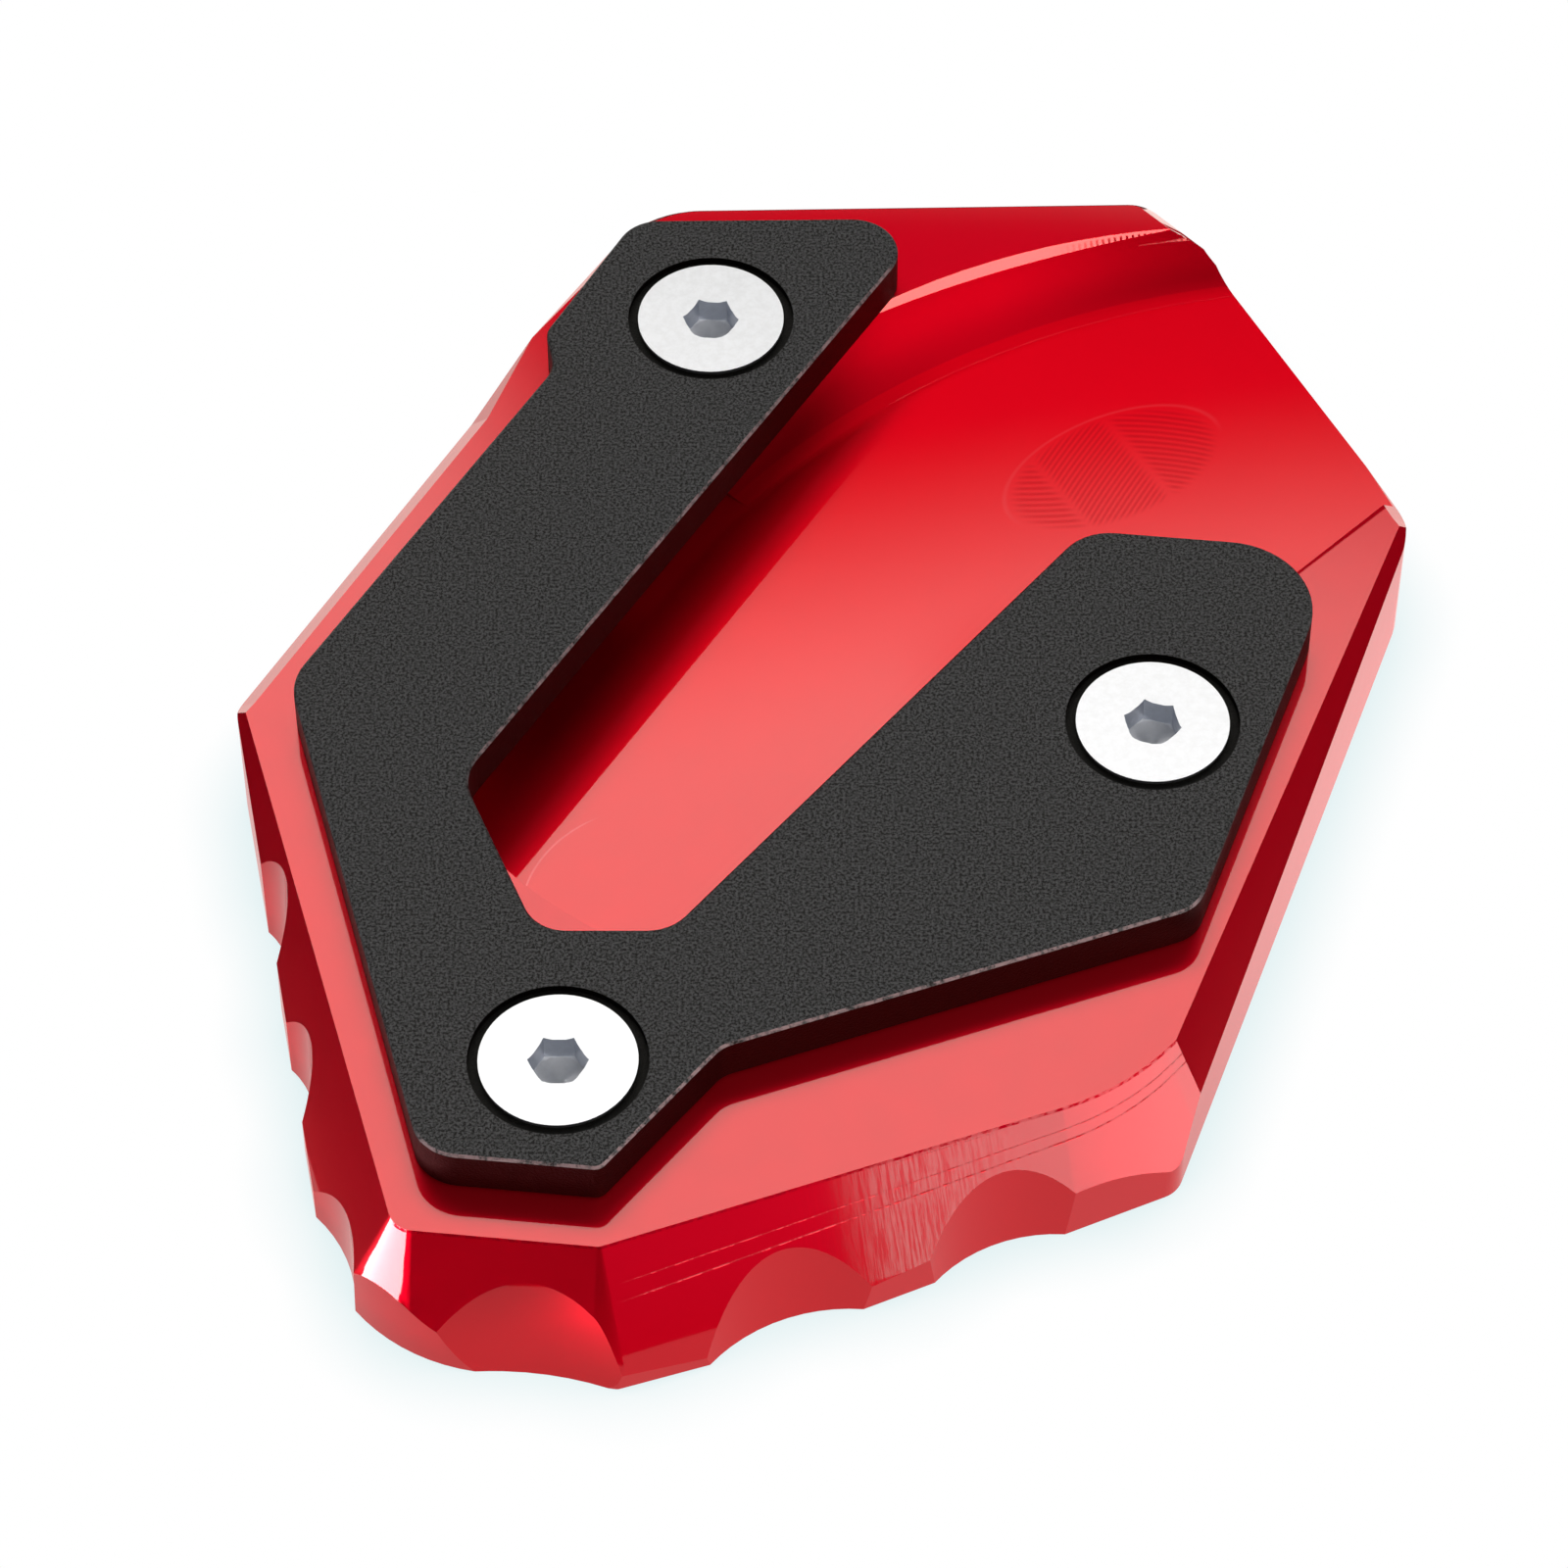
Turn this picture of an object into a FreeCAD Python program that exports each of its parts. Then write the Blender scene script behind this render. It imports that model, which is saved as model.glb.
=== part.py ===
import FreeCAD, Part

import math
import os

# Foot enlarger for the kickstand of a motorcycle, in millimetres, +Z up.
# A bevelled base plate lies on the ground. The stand's foot sits in a shallow pocket in its top,
# and a forked clamp plate with three countersunk screws holds the foot down from both sides.
# The object is drawn with its toe towards -Y, and is centred on its footprint at the end.

# Thicknesses
BASE_THICKNESS = 12.0
PLATE_THICKNESS = 4.0

# Upright outer wall of the base, anticlockwise: x, y and radius of each corner
BASE_OUTLINE = {
    "left": (-43.4, 11.7, 3.0),
    "toe_left": (-33.35, -41.9, 15.0),
    "toe_front": (-12.4, -45.0, 0.8),
    "front_bend": (-4.5, -42.5, 15.0),
    "front_right": (30.1, -27.2, 2.5),
    "right": (50.97, 30.87, 6.0),
    "mouth": (36.55, 61.1, 0.5),
    "back_right": (30.6, 67.43, 3.0),
    "back_left": (-11.7, 66.61, 9.0),
}

# Steep flank round the left, toe, front and right sides. These corners lie in the top face,
# and the two behind the object only give the left and right sides their direction.
FLANK_LEAN = 25.0
FLANK_TOP_OUTLINE = [
    (-67.4, 100.0, 0.0),
    (-28.8, -38.7, 2.0),
    (-13.6, -40.3, 0.8),
    (25.5, -26.05, 20.0),
    (29.6, -21.5, 0.0),
    (77.4, 100.0, 0.0),
]

# Small bevel from the left corner round the back to the right corner. It runs out along the
# back left side, and is at full width again at the corner under the clamp plate.
BEVEL_LEAN = 45.0
BEVEL_WIDTH = 1.55
BEVEL_GAP_PLACE = 18.5
BEVEL_RUNOUT_LENGTH = 9.5

# Finger scallops in the upright walls, each cut with a round cutter that leans in over the base:
# the wall's two corners, place along it, radius, depth at the top face, and lean in degrees
SCALLOPS = {
    "left_back": ("left", "toe_left", 18.1, 7.0, 1.7, 2.5),
    "left_middle": ("left", "toe_left", 31.75, 7.0, 1.7, 2.5),
    "left_corner": ("left", "toe_left", 48.5, 12.0, 2.4, 2.0),
    "toe": ("toe_left", "toe_front", 15.4, 26.0, 2.75, 14.4),
    "front_toe": ("front_bend", "front_right", 5.1, 13.6, 3.27, 8.6),
    "front_right": ("front_bend", "front_right", 22.85, 12.0, 2.2, 4.4),
}

# Pocket for the stand's foot, open through the right back edge. The last three corners lie
# outside the base. The floor rises from the left arm's edge towards the mouth.
POCKET_OUTLINE = [
    (-27.7, 1.0, 6.0),
    (-17.9, -8.8, 30.0),
    (-3.3, -18.3, 6.0),
    (75.0, 57.7, 0.0),
    (75.0, 110.0, 0.0),
    (40.7, 110.0, 0.0),
]
FLOOR_POINT = (1.2, 42.4)
FLOOR_DEPTH = 4.7
FLOOR_RISE_HEADING = -32.12
FLOOR_TILT = 4.3

# Concave back wall of the pocket, coved at its foot and swept round from the mouth to below the
# clamp plate's left arm. The rim of its 45 degree chamfer follows a tighter circle in the top
# face, so the chamfer narrows to nothing at the mouth.
BACK_WALL_CENTRE = (44.7, -4.0)
BACK_WALL_RADIUS = 68.67
BACK_WALL_START_HEADING = 90.0
BACK_WALL_END_HEADING = 140.0
BACK_WALL_REACH = 15.0
COVE_RADIUS = 6.1
RIM_CENTRE = (39.0, 6.1)
RIM_RADIUS = 57.4
RIM_CHAMFER_DEPTH = 1.0

# Forked clamp plate, anticlockwise: x, y and radius of each corner
PLATE_OUTLINE = [
    (-12.5, 60.3, 3.5),
    (-19.6, 47.6, 2.0),
    (-18.8, 43.6, 3.0),
    (-38.75, 10.4, 5.0),
    (-26.8, -34.7, 3.8),
    (-13.5, -36.1, 1.0),
    (-4.6, -25.0, 2.8),
    (31.5, -11.95, 3.2),
    (44.4, 23.95, 6.8),
    (24.1, 26.05, 4.5),
    (-8.6, -14.05, 3.8),
    (-18.8, -14.05, 3.4),
    (-24.9, 0.8, 4.0),
    (12.6, 60.6, 3.8),
]
PLATE_EDGE_BREAK = 0.2

# Countersunk screws: centre of each, and how far its socket is turned in degrees
SCREWS = {
    "back": (-6.03, 49.10, -4.0),
    "right": (28.73, 6.24, 44.0),
    "toe": (-16.83, -26.21, 0.0),
}
SCREW_RADIUS = 3.0
SCREW_LENGTH = 14.0
SCREW_END_CHAMFER = 0.6
HEAD_RADIUS = 6.0
HEAD_LAND = 0.3
SOCKET_ACROSS_FLATS = 4.0
SOCKET_DEPTH = 2.4
SOCKET_CHAMFER = 0.25
SEAT_RIM_RADIUS = 6.8
SEAT_RIM_DEPTH = 0.6
PLATE_HOLE_CLEARANCE = 0.2
BASE_BORE_CLEARANCE = 0.05

# Cutters reach this far past the faces that they cut through
OVERCUT = 2.0

# Sides of the object that a cutter leaves alone lie within this distance of its middle
FAR = 150.0


def vector(x, y, z=0.0):
    """A point or direction from its three numbers."""
    return FreeCAD.Vector(x, y, z)


def heading(degrees):
    """The flat unit direction at an angle from +X."""
    return vector(math.cos(math.radians(degrees)), math.sin(math.radians(degrees)))


def rounded_wire(corners, z):
    """Straight runs joined by tangent arcs, as a closed wire at one height."""
    points = [vector(x, y, z) for x, y, _ in corners]
    edges = []
    last = None
    first = None
    for index, (_, _, radius) in enumerate(corners):
        here = points[index]
        back = points[index - 1] - here
        ahead = points[(index + 1) % len(points)] - here
        shorter_run = min(back.Length, ahead.Length)
        back.normalize()
        ahead.normalize()
        half = back.getAngle(ahead) / 2
        reach = min(radius / math.tan(half), 0.95 * shorter_run)
        arc_start = here + back * reach
        arc_end = here + ahead * reach
        if last is None:
            first = arc_start
        else:
            edges.append(Part.LineSegment(last, arc_start).toShape())
        if reach > 0:
            inward = (back + ahead).normalize()
            sagitta_point = here + inward * reach * (1 - math.sin(half)) / math.cos(half)
            edges.append(Part.Arc(arc_start, sagitta_point, arc_end).toShape())
        last = arc_end
    edges.append(Part.LineSegment(last, first).toShape())
    return Part.Wire(edges)


def grown(corners, distance):
    """An anticlockwise outline with every side moved outwards, or inwards if negative."""
    result = []
    for index, (x, y, radius) in enumerate(corners):
        x_before, y_before, _ = corners[index - 1]
        x_after, y_after, _ = corners[(index + 1) % len(corners)]
        side_before = vector(y - y_before, x_before - x).normalize()
        side_after = vector(y_after - y, x - x_after).normalize()
        mitre = (side_before + side_after) * (distance / (1 + side_before.dot(side_after)))
        new_radius = max(radius + distance, 0.0) if radius > 0 else 0.0
        result.append((x + mitre.x, y + mitre.y, new_radius))
    return result


def prism(corners, bottom, top):
    """An upright solid between two heights."""
    face = Part.Face(rounded_wire(corners, bottom))
    return face.extrude(vector(0, 0, top - bottom))


def leaning_block(corners, top, depth, lean):
    """A solid that spreads downwards from its top outline, with sides that lean in."""
    spread = depth * math.tan(math.radians(lean))
    wires = [rounded_wire(grown(corners, spread), top - depth), rounded_wire(corners, top)]
    return Part.makeLoft(wires, True, True)


def scallop(corner, next_corner, along, radius, depth, lean):
    """The cutter of one finger scallop in the wall that runs between two corners."""
    start = vector(*BASE_OUTLINE[corner][:2])
    wall = vector(*BASE_OUTLINE[next_corner][:2]) - start
    wall.normalize()
    outward = vector(wall.y, -wall.x)
    axis = vector(0, 0, -1) + outward * math.tan(math.radians(lean))
    centre = start + wall * along + outward * (radius - depth) + vector(0, 0, BASE_THICKNESS)
    return Part.makeCylinder(radius, BASE_THICKNESS * 3, centre - axis * BASE_THICKNESS, axis)


def bevel_block():
    """What the bevel leaves: the outline set in round the back, and far out past the toe."""
    names = list(BASE_OUTLINE)
    set_in = dict(zip(names, grown(list(BASE_OUTLINE.values()), -BEVEL_WIDTH)))
    corner = vector(*BASE_OUTLINE["back_left"][:2])
    side = vector(*BASE_OUTLINE["left"][:2]) - corner
    side.normalize()
    inward = vector(-side.y, side.x)
    gap = corner + side * BEVEL_GAP_PLACE
    full = gap + side * BEVEL_RUNOUT_LENGTH + inward * BEVEL_WIDTH
    top_outline = [
        (-FAR, -FAR, 0.0),
        (FAR, -FAR, 0.0),
        set_in["right"],
        set_in["mouth"],
        set_in["back_right"],
        set_in["back_left"],
        (gap.x, gap.y, 0.0),
        (full.x, full.y, 0.0),
        set_in["left"],
    ]
    return leaning_block(top_outline, BASE_THICKNESS, BASE_THICKNESS, BEVEL_LEAN)


def turned_profile(profile, angle, place):
    """A closed profile of radius and height pairs, turned about the z axis of a placement."""
    points = [vector(radius, 0, height) for radius, height in profile]
    face = Part.Face(Part.makePolygon(points + points[:1]))
    solid = face.revolve(vector(0, 0, 0), vector(0, 0, 1), angle)
    solid.Placement = place
    return solid


def floor_turn():
    """The turn that lays the xy plane in the pocket's floor, with x up its slope."""
    uphill = FreeCAD.Rotation(vector(0, 0, 1), FLOOR_RISE_HEADING)
    return uphill.multiply(FreeCAD.Rotation(vector(0, 1, 0), -FLOOR_TILT))


def back_wall():
    """What stays behind the pocket: a cove that springs from the floor and ends upright."""
    turn = floor_turn()
    square_to_floor = turn.multVec(vector(0, 0, 1))
    floor = vector(*FLOOR_POINT, BASE_THICKNESS - FLOOR_DEPTH)
    centre = vector(*BACK_WALL_CENTRE, BASE_THICKNESS)
    foot = centre - square_to_floor * (centre - floor).dot(square_to_floor)
    start = FreeCAD.Rotation(vector(0, 0, 1), BACK_WALL_START_HEADING - FLOOR_RISE_HEADING)
    inner = BACK_WALL_RADIUS - COVE_RADIUS
    outer = BACK_WALL_RADIUS + BACK_WALL_REACH
    low_inside = vector(inner, 0, -OVERCUT)
    springing = vector(inner, 0, 0)
    cove_middle = vector(inner + COVE_RADIUS * math.sin(math.pi / 4), 0,
                         COVE_RADIUS * (1 - math.cos(math.pi / 4)))
    cove_top = vector(BACK_WALL_RADIUS, 0, COVE_RADIUS)
    high_inside = vector(BACK_WALL_RADIUS, 0, COVE_RADIUS + BASE_THICKNESS)
    high_outside = vector(outer, 0, COVE_RADIUS + BASE_THICKNESS)
    low_outside = vector(outer, 0, -OVERCUT)
    profile = Part.Wire([
        Part.LineSegment(low_inside, springing).toShape(),
        Part.Arc(springing, cove_middle, cove_top).toShape(),
        Part.makePolygon([cove_top, high_inside, high_outside, low_outside, low_inside]),
    ])
    sweep = BACK_WALL_END_HEADING - BACK_WALL_START_HEADING
    wall = Part.Face(profile).revolve(vector(0, 0, 0), vector(0, 0, 1), sweep)
    wall.Placement = FreeCAD.Placement(foot, turn.multiply(start))
    return wall


def back_wall_chamfer():
    """The narrow chamfer along the top of the pocket's back wall."""
    inner = RIM_RADIUS - RIM_CHAMFER_DEPTH
    profile = [
        (inner, BASE_THICKNESS - RIM_CHAMFER_DEPTH),
        (RIM_RADIUS + OVERCUT, BASE_THICKNESS + OVERCUT),
        (inner, BASE_THICKNESS + OVERCUT),
    ]
    start = FreeCAD.Rotation(vector(0, 0, 1), BACK_WALL_START_HEADING)
    place = FreeCAD.Placement(vector(*RIM_CENTRE), start)
    return turned_profile(profile, BACK_WALL_END_HEADING - BACK_WALL_START_HEADING, place)


def pocket():
    """The seat for the stand's foot: upright walls, a sloping floor and a coved back wall."""
    opening = prism(POCKET_OUTLINE, 0, BASE_THICKNESS + OVERCUT)
    floor = vector(*FLOOR_POINT, BASE_THICKNESS - FLOOR_DEPTH)
    above_floor = Part.makeBox(2 * FAR, 2 * FAR, FAR, vector(-FAR, -FAR, 0))
    above_floor.Placement = FreeCAD.Placement(floor, floor_turn())
    seat = opening.common(above_floor).cut(back_wall())
    return seat.fuse(back_wall_chamfer().common(opening))


def base_plate():
    """The base with its flank, bevel, scallops, pocket and screw bores."""
    body = prism(list(BASE_OUTLINE.values()), 0, BASE_THICKNESS)
    flank = leaning_block(FLANK_TOP_OUTLINE, BASE_THICKNESS, BASE_THICKNESS, FLANK_LEAN)
    body = body.common(flank).common(bevel_block())
    cutters = [scallop(*sizes) for sizes in SCALLOPS.values()]
    cutters.append(pocket())
    for x, y, _ in SCREWS.values():
        cutters.append(Part.makeCylinder(SCREW_RADIUS + BASE_BORE_CLEARANCE,
                                         BASE_THICKNESS + 2 * OVERCUT, vector(x, y, -OVERCUT)))
    return body.cut(cutters)


def screw_seat(x, y):
    """The rim, countersink and clearance hole of one screw, as a cutter in the clamp plate."""
    top = BASE_THICKNESS + PLATE_THICKNESS
    hole = SCREW_RADIUS + PLATE_HOLE_CLEARANCE
    sink = HEAD_RADIUS + HEAD_LAND - SEAT_RIM_DEPTH
    profile = [
        (0, BASE_THICKNESS - OVERCUT),
        (hole, BASE_THICKNESS - OVERCUT),
        (hole, top - SEAT_RIM_DEPTH - (sink - hole)),
        (sink, top - SEAT_RIM_DEPTH),
        (SEAT_RIM_RADIUS, top - SEAT_RIM_DEPTH),
        (SEAT_RIM_RADIUS, top + OVERCUT),
        (0, top + OVERCUT),
    ]
    return turned_profile(profile, 360, FreeCAD.Placement(vector(x, y), FreeCAD.Rotation()))


def clamp_plate():
    """The forked plate with broken edges and its three countersinks."""
    top = BASE_THICKNESS + PLATE_THICKNESS
    body = prism(PLATE_OUTLINE, BASE_THICKNESS, top)
    rims = [edge for edge in body.Edges if edge.BoundBox.ZLength < PLATE_EDGE_BREAK]
    body = body.makeChamfer(PLATE_EDGE_BREAK, rims)
    return body.cut([screw_seat(x, y) for x, y, _ in SCREWS.values()])


def clamp_screw(x, y, socket_turn):
    """One countersunk screw with a hexagonal socket, its head flush with the clamp plate."""
    top = BASE_THICKNESS + PLATE_THICKNESS
    bottom = top - SCREW_LENGTH
    profile = [
        (0, bottom),
        (SCREW_RADIUS - SCREW_END_CHAMFER, bottom),
        (SCREW_RADIUS, bottom + SCREW_END_CHAMFER),
        (SCREW_RADIUS, top - HEAD_LAND - (HEAD_RADIUS - SCREW_RADIUS)),
        (HEAD_RADIUS, top - HEAD_LAND),
        (HEAD_RADIUS, top),
        (0, top),
    ]
    place = FreeCAD.Placement(vector(x, y), FreeCAD.Rotation())
    screw = turned_profile(profile, 360, place)
    corner = SOCKET_ACROSS_FLATS / 2 / math.cos(math.pi / 6)
    hexagon = [vector(x, y, top - SOCKET_DEPTH) + heading(socket_turn + 60 * side) * corner
               for side in range(6)]
    socket = Part.Face(Part.makePolygon(hexagon + hexagon[:1])).extrude(vector(0, 0, SOCKET_DEPTH))
    mouth = Part.makeCone(corner - SOCKET_CHAMFER, corner + SOCKET_CHAMFER, 2 * SOCKET_CHAMFER,
                          vector(x, y, top - SOCKET_CHAMFER))
    drill_point = Part.makeCone(0, SOCKET_ACROSS_FLATS / 2, SOCKET_ACROSS_FLATS / 4,
                                vector(x, y, top - SOCKET_DEPTH - SOCKET_ACROSS_FLATS / 4))
    return screw.cut([socket, mouth, drill_point])


def main():
    """Build every piece, centre them on the footprint and write them out."""
    pieces = {"base_plate": base_plate(), "clamp_plate": clamp_plate()}
    for place, (x, y, socket_turn) in SCREWS.items():
        pieces[f"clamp_screw_{place}"] = clamp_screw(x, y, socket_turn)
    footprint = Part.makeCompound(list(pieces.values())).optimalBoundingBox(False)
    to_origin = vector(-footprint.Center.x, -footprint.Center.y)
    os.makedirs("parts", exist_ok=True)
    for name, piece in pieces.items():
        piece.translate(to_origin)
        piece.exportStep(f"parts/{name}.step")


main()
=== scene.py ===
import logging
import math
from dataclasses import dataclass
from enum import Enum

import bpy
import numpy as np
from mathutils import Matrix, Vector
from mathutils.geometry import convex_hull_2d


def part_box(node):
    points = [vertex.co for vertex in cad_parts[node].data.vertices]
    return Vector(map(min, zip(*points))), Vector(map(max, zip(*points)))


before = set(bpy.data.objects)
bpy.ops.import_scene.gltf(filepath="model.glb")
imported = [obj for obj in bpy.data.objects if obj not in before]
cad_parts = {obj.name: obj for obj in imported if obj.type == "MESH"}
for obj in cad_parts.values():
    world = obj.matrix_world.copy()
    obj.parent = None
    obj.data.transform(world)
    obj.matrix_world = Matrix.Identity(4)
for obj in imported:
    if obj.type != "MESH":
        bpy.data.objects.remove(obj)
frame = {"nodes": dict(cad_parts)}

log = logging.getLogger("foot_enlarger")

MM = 0.001
AIM_MM = (-3.615, -11.212, 16.0)
CAMERA_ELEVATION = 51.5
CAMERA_DISTANCE_MM = 454.2
LENS_MM = 135.0
SENSOR_MM = 36.0
BASE_TOP_MM = (11.90, 11.95)

BLACK = (0.0, 0.0, 0.0)
WHITE = (1.0, 1.0, 1.0)
SQUARE = ((-1.0, -1.0), (1.0, -1.0), (1.0, 1.0), (-1.0, 1.0))


class Tilt:
    """How far up a surface faces, by its normal's third number: where a mark starts, is full, fades and ends."""

    FLANK = (0.30, 0.36, 0.50, 0.56)
    BEVEL = (0.60, 0.64, 0.76, 0.80)
    LEVEL = (0.985, 0.99)


class Socket:
    """A shader output that takes part in plain arithmetic."""

    def __init__(self, tree: bpy.types.NodeTree, output: bpy.types.NodeSocket) -> None:
        """Wraps an output.

        Args:
            tree: The node tree that holds the output.
            output: The node output itself.
        """
        self.tree = tree
        self.output = output

    def _math(self, operation: str, *operands: "Socket | float") -> "Socket":
        """Joins values with one math node.

        Args:
            operation: The node's operation.
            operands: Sockets or numbers, in the node's order.

        Returns:
            The result as a Socket.
        """
        node = self.tree.nodes.new("ShaderNodeMath")
        node.operation = operation
        for entry, operand in zip(node.inputs, operands):
            link(self.tree, operand, entry)
        return Socket(self.tree, node.outputs[0])

    def __add__(self, other: "Socket | float") -> "Socket":
        """Returns the sum as a Socket."""
        return self._math("ADD", self, other)

    __radd__ = __add__

    def __sub__(self, other: "Socket | float") -> "Socket":
        """Returns this value less the other, as a Socket."""
        return self._math("SUBTRACT", self, other)

    def __rsub__(self, other: "Socket | float") -> "Socket":
        """Returns the other value less this one, as a Socket."""
        return self._math("SUBTRACT", other, self)

    def __mul__(self, other: "Socket | float") -> "Socket":
        """Returns the product as a Socket."""
        return self._math("MULTIPLY", self, other)

    __rmul__ = __mul__

    def __truediv__(self, other: "Socket | float") -> "Socket":
        """Returns this value divided by the other, as a Socket."""
        return self._math("DIVIDE", self, other)

    def __pow__(self, other: "Socket | float") -> "Socket":
        """Returns this value to the power of the other, as a Socket."""
        return self._math("POWER", self, other)

    def __abs__(self) -> "Socket":
        """Returns the value without its sign, as a Socket."""
        return self._math("ABSOLUTE", self)

    def sine(self) -> "Socket":
        """Returns the sine of the value as a Socket."""
        return self._math("SINE", self)

    def heading_of(self, up: "Socket") -> "Socket":
        """Returns the heading in degrees of a point that lies this value across and the other up."""
        return self._math("ARCTAN2", up, self) * (180.0 / math.pi)


def link(tree: bpy.types.NodeTree, value: Socket | tuple | float, entry: bpy.types.NodeSocket) -> None:
    """Feeds a socket, a colour or a number into a node input.

    Args:
        tree: The node tree.
        value: A Socket, a tuple or a number.
        entry: The input that takes it.
    """
    if isinstance(value, Socket):
        tree.links.new(value.output, entry)
    elif isinstance(value, tuple) and entry.type == "RGBA":
        entry.default_value = (*value[:3], 1.0)
    else:
        entry.default_value = value


def reach(across: Socket, up: Socket) -> Socket:
    """Returns the distance from a centre: the square root of across squared plus up squared."""
    return (across * across + up * up) ** 0.5


def turned(across: Socket, up: Socket, heading: float) -> tuple[Socket, Socket]:
    """Measures a point along a heading and square to it.

    The first number is across times the heading's cosine plus up times its sine. The second is up times
    the cosine less across times the sine.

    Args:
        across: The point's first coordinate.
        up: Its second coordinate.
        heading: The heading in degrees.

    Returns:
        The two numbers as Sockets.
    """
    cosine, sine = math.cos(math.radians(heading)), math.sin(math.radians(heading))
    return across * cosine + up * sine, up * cosine - across * sine


def direction(heading: np.ndarray | float, elevation: np.ndarray | float) -> np.ndarray:
    """Finds the way to a heading and an elevation.

    Its numbers are the heading's cosine times the elevation's cosine, the heading's sine times the
    elevation's cosine, and the elevation's sine.

    Args:
        heading: One heading in degrees, or an array of them.
        elevation: The elevations above the horizon, in degrees.

    Returns:
        The directions, with their three numbers along the last axis.
    """
    h, e = np.radians(heading), np.radians(elevation)
    return np.stack([np.cos(h) * np.cos(e), np.sin(h) * np.cos(e), np.sin(e)], axis=-1)


def scaled(colour: tuple, gain: float) -> tuple:
    """Returns a colour times a number."""
    return tuple(part * gain for part in colour)


@dataclass(frozen=True)
class Place:
    """The point that is shaded, in millimetres of the part's frame, as one vector and as its numbers."""

    vector: Socket
    x: Socket
    y: Socket
    z: Socket


@dataclass(frozen=True)
class Grain:
    """One noise: its waves per unit, its octaves of finer noise and how strong those are."""

    scale: float
    detail: float = 2.0
    roughness: float = 0.5


class Shader:
    """A node tree under construction, with one method for every kind of node."""

    def __init__(self, tree: bpy.types.NodeTree) -> None:
        """Empties a tree.

        Args:
            tree: The node tree of a material or world.
        """
        self.tree = tree
        tree.nodes.clear()

    def node(self, kind: str, inputs: dict | None = None, output: int | str = 0, **settings: object) -> Socket:
        """Adds a node.

        Args:
            kind: The node's type without its ShaderNode prefix.
            inputs: Values by input name or number.
            output: Name or number of the output to return.
            settings: Attributes of the node.

        Returns:
            The output as a Socket.
        """
        node = self.tree.nodes.new("ShaderNode" + kind)
        for name, value in settings.items():
            setattr(node, name, value)
        for name, value in (inputs or {}).items():
            link(self.tree, value, node.inputs[name])
        return Socket(self.tree, node.outputs[output])

    def parts(self, vector: Socket) -> list[Socket]:
        """Returns the three numbers of a vector as Sockets."""
        outputs = self.node("SeparateXYZ", {0: vector}).output.node.outputs
        return [Socket(self.tree, outputs[i]) for i in range(3)]

    def object_place(self) -> Place:
        """Finds the point that is shaded.

        Returns:
            The point in millimetres.
        """
        place = self.node("TexCoord", output="Object")
        vector = self.node("VectorMath", {0: place, 1: (1 / MM, 1 / MM, 1 / MM)}, operation="MULTIPLY")
        return Place(vector, *self.parts(vector))

    def normal(self) -> list[Socket]:
        """Returns the three numbers of the surface's normal as Sockets."""
        return self.parts(self.node("NewGeometry", output="Normal"))

    def normal_towards(self, factor: Socket, aim: tuple) -> Socket:
        """Returns the surface's normal turned towards an aim by a factor from 0 to 1, as a Socket."""
        normal = self.node("NewGeometry", output="Normal")
        return self.node("Mix", {0: factor, 4: normal, 5: aim}, output=1, data_type="VECTOR")

    def noise(self, vector: Socket, grain: Grain) -> Socket:
        """Returns one noise value from 0 to 1, as a Socket."""
        return self.node("TexNoise", {"Vector": vector, "Scale": grain.scale, "Detail": grain.detail,
                                      "Roughness": grain.roughness}, output="Fac")

    def ramp(self, value: Socket, low: float, high: float) -> Socket:
        """Returns a smooth rise from 0 at low to 1 at high."""
        return self.node("MapRange", {"Value": value, "From Min": low, "From Max": high, "To Min": 0.0,
                                      "To Max": 1.0}, interpolation_type="SMOOTHSTEP", clamp=True)

    def fall(self, value: Socket, low: float, high: float) -> Socket:
        """Returns a smooth fall from 1 at low to 0 at high."""
        return 1.0 - self.ramp(value, low, high)

    def band(self, value: Socket, start: float, full: float, fade: float, end: float) -> Socket:
        """Returns a smooth rise from start to full, times a smooth fall from fade to end."""
        return self.ramp(value, start, full) * self.fall(value, fade, end)

    def mix(self, factor: Socket | float, first: Socket | tuple, second: Socket | tuple) -> Socket:
        """Returns a colour between two colours, the second where the factor is 1, as a Socket."""
        return self.node("Mix", {0: factor, 6: first, 7: second}, output=2, data_type="RGBA")

    def bump(self, height: Socket, distance: float, strength: float = 1.0) -> Socket:
        """Returns a normal bent by a height that counts in distances of so many metres, as a Socket."""
        return self.node("Bump", {"Height": height, "Distance": distance, "Strength": strength}, output="Normal")

    def surface(self, closure: Socket, world: bool = False) -> None:
        """Ends the tree in a surface shader.

        Args:
            closure: The shader output.
            world: Whether the tree is a world's.
        """
        kind = "ShaderNodeOutputWorld" if world else "ShaderNodeOutputMaterial"
        end = self.tree.nodes.new(kind)
        self.tree.links.new(closure.output, end.inputs["Surface"])


def new_material(name: str) -> tuple[bpy.types.Material, Shader]:
    """Adds a material.

    Args:
        name: The material's name.

    Returns:
        The material, and the Shader of its empty node tree.
    """
    material = bpy.data.materials.new(name)
    material.use_nodes = True
    return material, Shader(material.node_tree)


def new_object(name: str, corners: list, faces: list) -> tuple[bpy.types.Object, Shader]:
    """Adds a mesh object with a material of its own to the scene.

    Args:
        name: The name of the object, its mesh and its material.
        corners: The mesh's corners in metres.
        faces: Its faces, each as the numbers of its corners.

    Returns:
        The object, and the Shader of its empty material.
    """
    mesh = bpy.data.meshes.new(name)
    mesh.from_pydata(corners, [], faces)
    material, shader = new_material(name)
    mesh.materials.append(material)
    piece = bpy.data.objects.new(name, mesh)
    bpy.context.scene.collection.objects.link(piece)
    return piece, shader


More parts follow.
